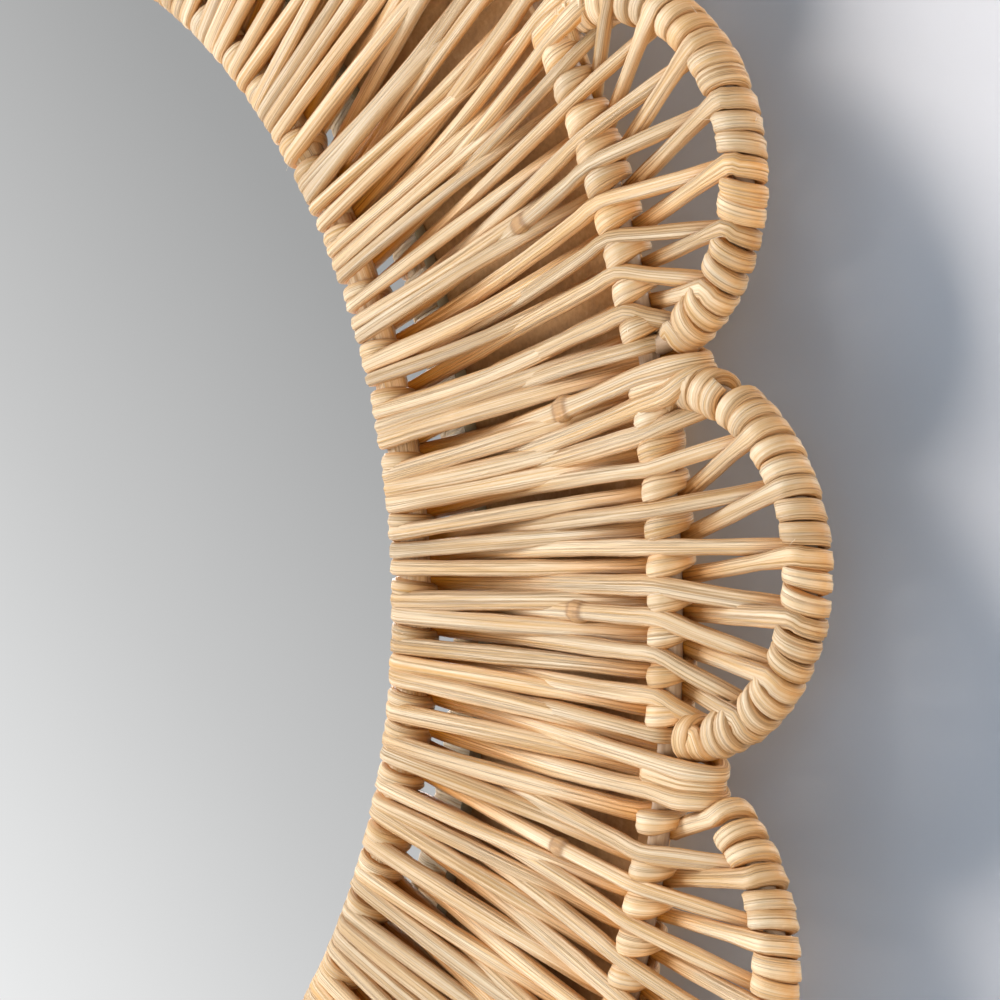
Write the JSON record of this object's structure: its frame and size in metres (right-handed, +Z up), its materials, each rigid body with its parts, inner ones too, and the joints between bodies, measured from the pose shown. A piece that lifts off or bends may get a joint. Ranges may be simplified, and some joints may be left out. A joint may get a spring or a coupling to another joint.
{
  "type": "wall mirror",
  "caption": "Round wall mirror in a broad woven rattan frame, its strands wound on hoops with a scalloped outer edge.",
  "frame": {"origin": "centre of the backing board's back face, which lies against the wall", "axes": "+Z up, +Y into the wall, so that the mirror faces -Y, and +X to the right as seen from the front"},
  "size_m": [0.61, 0.0256, 0.6008],
  "materials": {
    "rattan": "bare peeled rattan core, satin",
    "rod": "bare pale rod, satin",
    "fibreboard": "bare fibreboard, matt",
    "mirror": "silvered glass"
  },
  "bodies": {
    "root": {"backing_board": "fibreboard", "mirror_glass": "mirror", "outer_hoop": "rod", "weave_01": "rattan", "weave_02": "rattan", "weave_03": "rattan", "weave_04": "rattan", "weave_05": "rattan", "weave_06": "rattan", "weave_07": "rattan", "weave_08": "rattan", "weave_09": "rattan", "weave_10": "rattan", "weave_11": "rattan", "weave_12": "rattan", "weave_13": "rattan", "weave_14": "rattan", "weave_15": "rattan", "weave_16": "rattan", "weave_17": "rattan", "weave_18": "rattan", "scallop_hoop_01": "rattan", "scallop_hoop_02": "rattan", "scallop_hoop_03": "rattan", "scallop_hoop_04": "rattan", "scallop_hoop_05": "rattan", "scallop_hoop_06": "rattan", "scallop_hoop_07": "rattan", "scallop_hoop_08": "rattan", "scallop_hoop_09": "rattan", "scallop_hoop_10": "rattan", "scallop_hoop_11": "rattan", "scallop_hoop_12": "rattan", "scallop_hoop_13": "rattan", "scallop_hoop_14": "rattan", "scallop_hoop_15": "rattan", "scallop_hoop_16": "rattan", "scallop_hoop_17": "rattan", "scallop_hoop_18": "rattan"}
  },
  "joints": []
}
